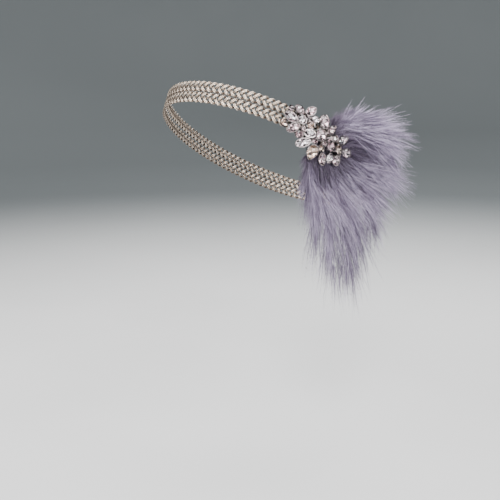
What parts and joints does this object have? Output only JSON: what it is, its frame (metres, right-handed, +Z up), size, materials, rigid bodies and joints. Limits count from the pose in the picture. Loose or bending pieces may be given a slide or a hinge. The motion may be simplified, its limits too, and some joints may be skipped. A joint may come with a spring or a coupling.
{
  "type": "flapper headband with a crystal brooch and marabou plumes",
  "caption": "Braided champagne headband worn across the forehead, with a crystal cluster brooch and a spray of lilac-grey marabou plumes at the left temple.",
  "frame": {"origin": "centre of the band's loop, where the head sits in it", "axes": "+Z up as worn, the front is -Y, and the brooch is on the wearer's left, at +X"},
  "size_m": [0.1792, 0.1648, 0.1508],
  "materials": {
    "braid": "champagne metallic cord, plaited, soft sheen",
    "silver_plate": "bright plated metal with darkened recesses",
    "crystal": "clear foil-backed crystal with a faint blush tint",
    "marabou": "soft lilac-grey down"
  },
  "bodies": {
    "root": {"band": "braid", "brooch_setting": "silver_plate", "feather_lower": "marabou", "feather_middle": "marabou", "feather_upper": "marabou", "marquise_stone_1": "crystal", "marquise_stone_2": "crystal", "marquise_stone_3": "crystal", "marquise_stone_4": "crystal", "marquise_stone_5": "crystal", "marquise_stone_6": "crystal", "marquise_stone_7": "crystal", "marquise_stone_8": "crystal", "marquise_stone_9": "crystal", "marquise_stone_10": "crystal", "marquise_stone_11": "crystal", "marquise_stone_12": "crystal", "marquise_stone_13": "crystal", "marquise_stone_14": "crystal", "marquise_stone_15": "crystal", "marquise_stone_16": "crystal", "marquise_stone_17": "crystal", "oval_stone_1": "crystal", "oval_stone_2": "crystal", "pear_stone_1": "crystal", "pear_stone_2": "crystal", "pear_stone_3": "crystal", "round_stone_1": "crystal", "round_stone_2": "crystal", "round_stone_3": "crystal", "round_stone_4": "crystal", "round_stone_5": "crystal", "round_stone_6": "crystal", "round_stone_7": "crystal", "round_stone_8": "crystal"}
  },
  "joints": []
}
